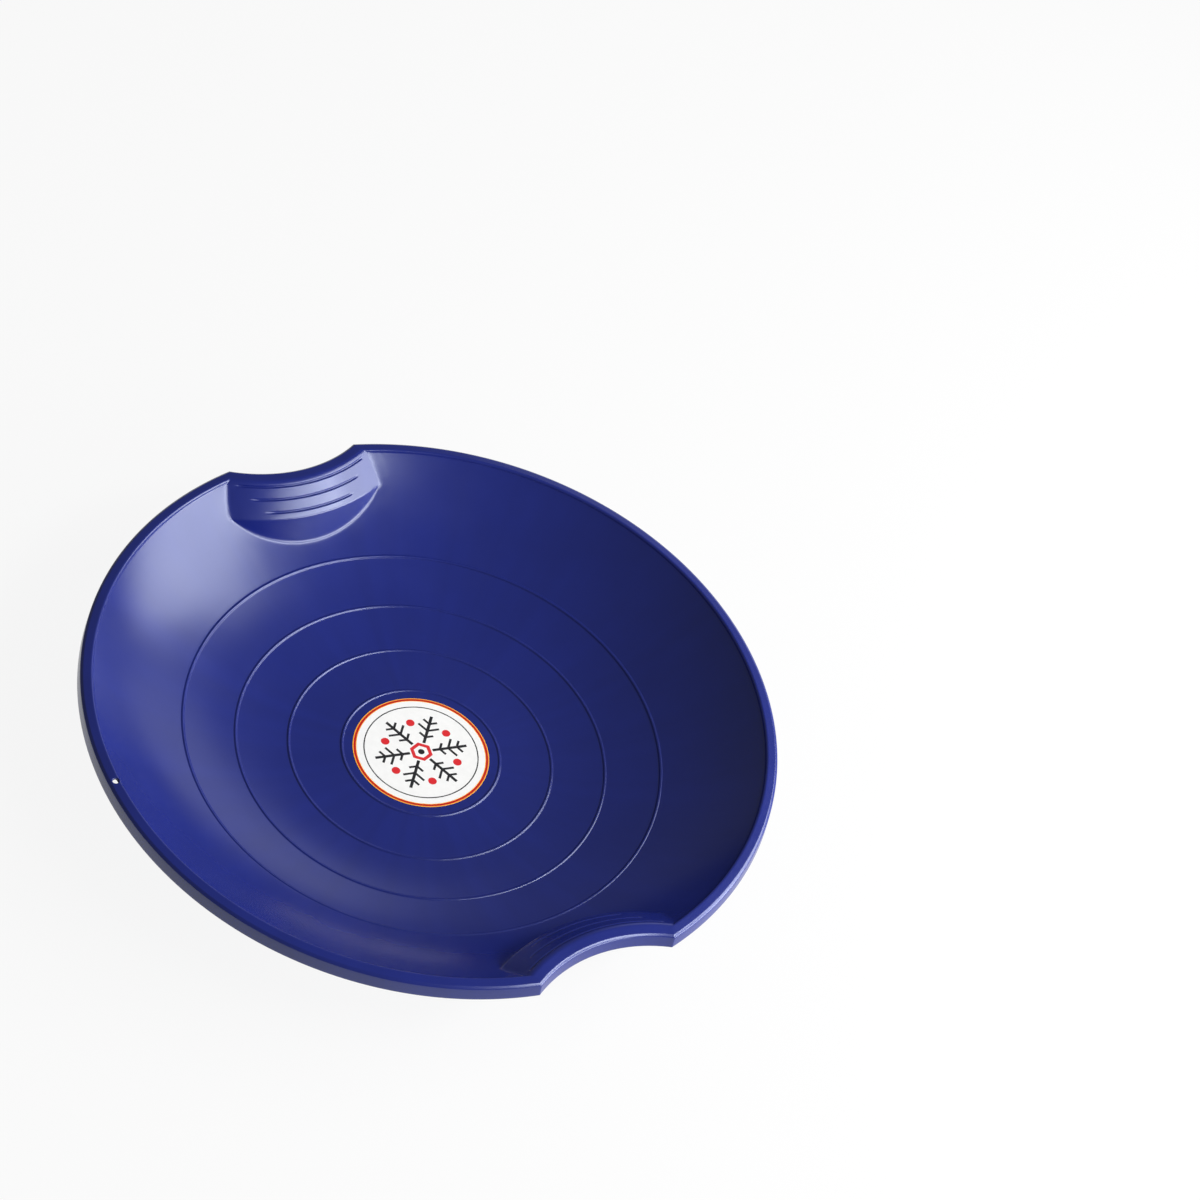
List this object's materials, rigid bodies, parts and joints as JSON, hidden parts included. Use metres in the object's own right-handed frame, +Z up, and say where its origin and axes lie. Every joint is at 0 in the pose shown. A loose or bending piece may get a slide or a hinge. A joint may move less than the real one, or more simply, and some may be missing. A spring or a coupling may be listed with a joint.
{
  "type": "saucer sled",
  "caption": "Round shallow moulded snow sled: a dish to sit in, with a flanged rim, floor ridges, raised grooved hand-holds at opposite sides, a rope hole and a round floor label.",
  "frame": {"origin": "middle of the flat underside, on the ground, on the dish's axis", "axes": "+Z up along the dish's axis, +X out through one hand-hold, and the rope hole on the -Y side"},
  "size_m": [0.646, 0.6602, 0.095],
  "materials": {
    "moulded_shell": "injection-moulded polyethylene, ultramarine, satin gloss",
    "printed_film": "printed self-adhesive vinyl film, white with a red and an orange border"
  },
  "bodies": {
    "root": {"saucer_shell": "moulded_shell", "centre_label": "printed_film"}
  },
  "joints": []
}
